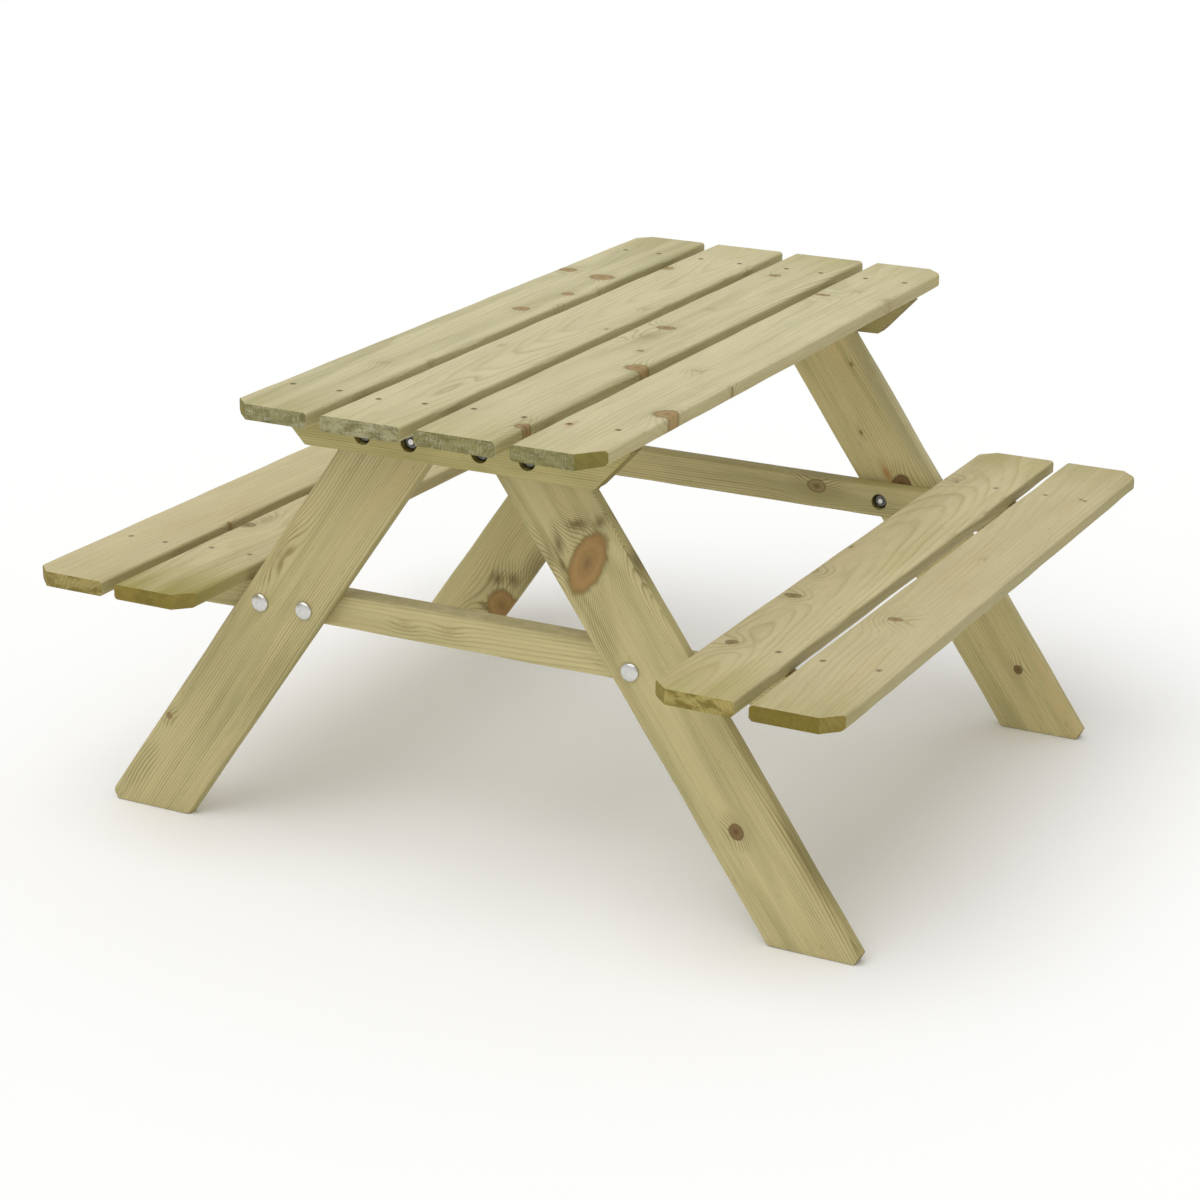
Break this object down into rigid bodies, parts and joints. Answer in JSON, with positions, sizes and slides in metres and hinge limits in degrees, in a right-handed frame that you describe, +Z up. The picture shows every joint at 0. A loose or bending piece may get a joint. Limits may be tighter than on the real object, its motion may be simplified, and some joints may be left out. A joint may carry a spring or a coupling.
{
  "type": "child-size picnic table",
  "caption": "A-frame timber picnic table for children: slatted top and two joined slatted bench seats on splayed legs, with chamfered board corners and coach-bolted end frames.",
  "frame": {"origin": "on the ground under the middle of the table", "axes": "+X along the boards from end frame 1 to end frame 2, +Y from seat b to seat a, +Z up"},
  "size_m": [0.919, 0.9176, 0.5135],
  "materials": {
    "top_wood": "planed pressure-treated softwood, pale greenish cream, uncoated",
    "seat_wood": "planed pressure-treated softwood, olive cream, uncoated",
    "frame_wood": "planed pressure-treated softwood, olive, uncoated",
    "bolt_steel": "bright zinc-plated steel",
    "nut_steel": "zinc-plated steel, slightly dull"
  },
  "bodies": {
    "root": {"bolt_cleat_1a_inner": "bolt_steel", "bolt_cleat_1a_outer": "bolt_steel", "bolt_cleat_1b_inner": "bolt_steel", "bolt_cleat_1b_outer": "bolt_steel", "bolt_cleat_2a_inner": "bolt_steel", "bolt_cleat_2a_outer": "bolt_steel", "bolt_cleat_2b_inner": "bolt_steel", "bolt_cleat_2b_outer": "bolt_steel", "bolt_rail_1a_inner": "bolt_steel", "bolt_rail_1a_outer": "bolt_steel", "bolt_rail_1b_inner": "bolt_steel", "bolt_rail_1b_outer": "bolt_steel", "bolt_rail_2a_inner": "bolt_steel", "bolt_rail_2a_outer": "bolt_steel", "bolt_rail_2b_inner": "bolt_steel", "bolt_rail_2b_outer": "bolt_steel", "cleat_1": "frame_wood", "cleat_2": "frame_wood", "leg_1a": "frame_wood", "leg_1b": "frame_wood", "leg_2a": "frame_wood", "leg_2b": "frame_wood", "nut_cleat_1a_inner": "nut_steel", "nut_cleat_1a_outer": "nut_steel", "nut_cleat_1b_inner": "nut_steel", "nut_cleat_1b_outer": "nut_steel", "nut_cleat_2a_inner": "nut_steel", "nut_cleat_2a_outer": "nut_steel", "nut_cleat_2b_inner": "nut_steel", "nut_cleat_2b_outer": "nut_steel", "nut_rail_1a_inner": "nut_steel", "nut_rail_1a_outer": "nut_steel", "nut_rail_1b_inner": "nut_steel", "nut_rail_1b_outer": "nut_steel", "nut_rail_2a_inner": "nut_steel", "nut_rail_2a_outer": "nut_steel", "nut_rail_2b_inner": "nut_steel", "nut_rail_2b_outer": "nut_steel", "seat_board_a_inner": "seat_wood", "seat_board_a_outer": "seat_wood", "seat_board_b_inner": "seat_wood", "seat_board_b_outer": "seat_wood", "seat_rail_1": "frame_wood", "seat_rail_2": "frame_wood", "top_board_1": "top_wood", "top_board_2": "top_wood", "top_board_3": "top_wood", "top_board_4": "top_wood"}
  },
  "joints": []
}
